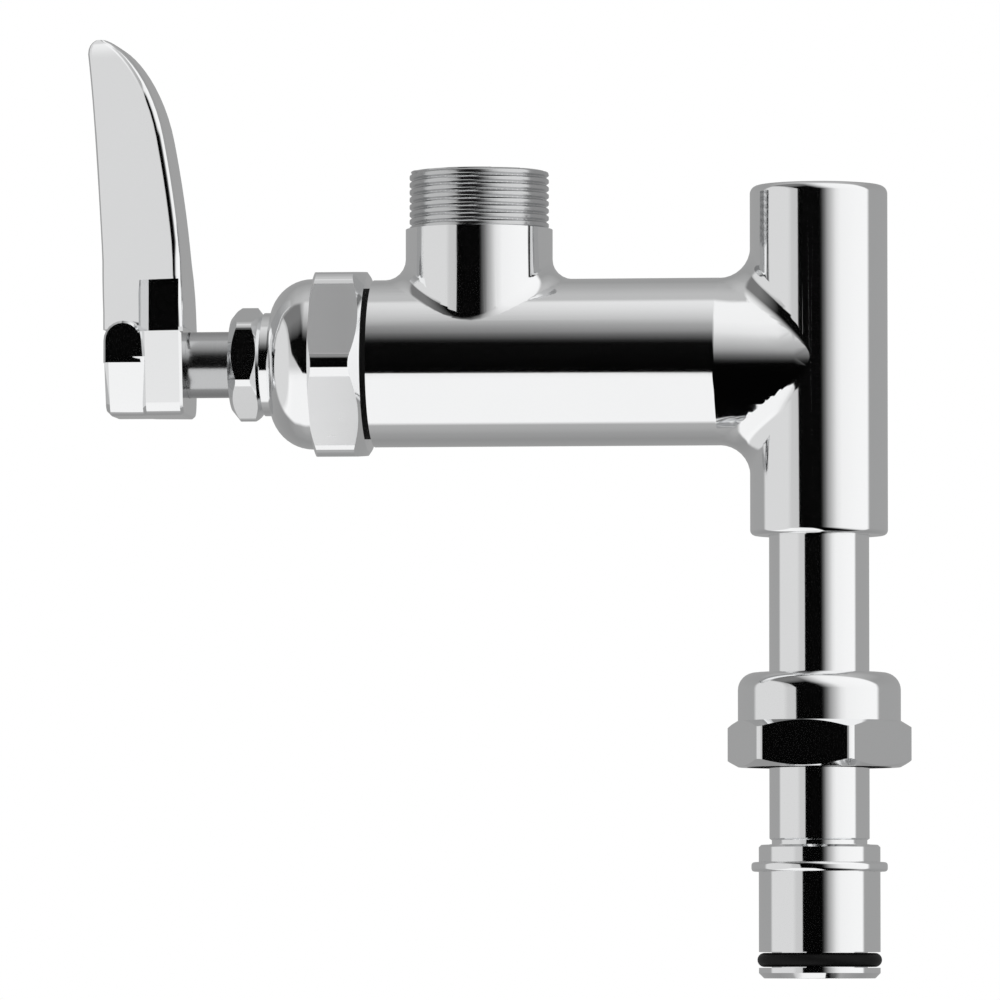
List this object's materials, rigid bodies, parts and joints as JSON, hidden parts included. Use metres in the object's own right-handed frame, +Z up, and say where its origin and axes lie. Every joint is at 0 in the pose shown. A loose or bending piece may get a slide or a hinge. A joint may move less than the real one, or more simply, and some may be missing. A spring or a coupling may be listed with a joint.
{
  "type": "auxiliary faucet",
  "caption": "Chrome add-on faucet for a pre-rinse riser: lever valve, upright threaded spout outlet and a push-in inlet spigot with a loose hexagon nut.",
  "frame": {"origin": "on the riser axis, at the underside of the spigot's retaining ring, where the spigot seats in its socket", "axes": "+Z up along the riser axis, the valve axis along X with the handle at -X, the user stands at -Y"},
  "size_m": [0.142, 0.0352, 0.1617],
  "materials": {
    "chrome": "polished chrome plate on brass",
    "brass": "machined brass",
    "rubber": "black seal rubber",
    "fibre": "dark fibre gasket",
    "white_plastic": "white acetal"
  },
  "bodies": {
    "faucet": {"body": "chrome", "seat_insert": "brass", "bonnet": "chrome", "bonnet_gasket": "fibre", "packing_nut": "chrome", "packing_gland": "brass", "stem_packing": "rubber", "thrust_washer": "white_plastic", "nipple": "chrome", "inlet_sleeve": "chrome", "retaining_ring": "chrome", "spigot_o_ring": "rubber"},
    "handle": {"lever_handle": "chrome", "handle_screw": "brass", "index_button": "chrome", "spindle": "chrome", "spindle_o_ring": "rubber"},
    "plunger": {"plunger": "brass", "seat_washer": "rubber", "washer_screw": "brass"},
    "nut": {"swivel_nut": "chrome"}
  },
  "joints": [
    {"name": "handle_turn", "type": "hinge", "parent": "faucet", "child": "handle", "pos_m": [-0.1, 0, 0.0876], "axis": [1, 0, 0], "range_deg": [0, 90]},
    {"name": "plunger_slide", "type": "slide", "parent": "faucet", "child": "plunger", "axis": [-1, 0, 0], "range_m": [0, 0.00165]},
    {"name": "nut_slide", "type": "slide", "parent": "faucet", "child": "nut", "axis": [0, 0, 1], "range_m": [-0.0262, 0.0232]}
  ],
  "couplings": [
    {"joint": "plunger_slide", "follows": "handle_turn", "m_per_rad": 0.0010186}
  ]
}
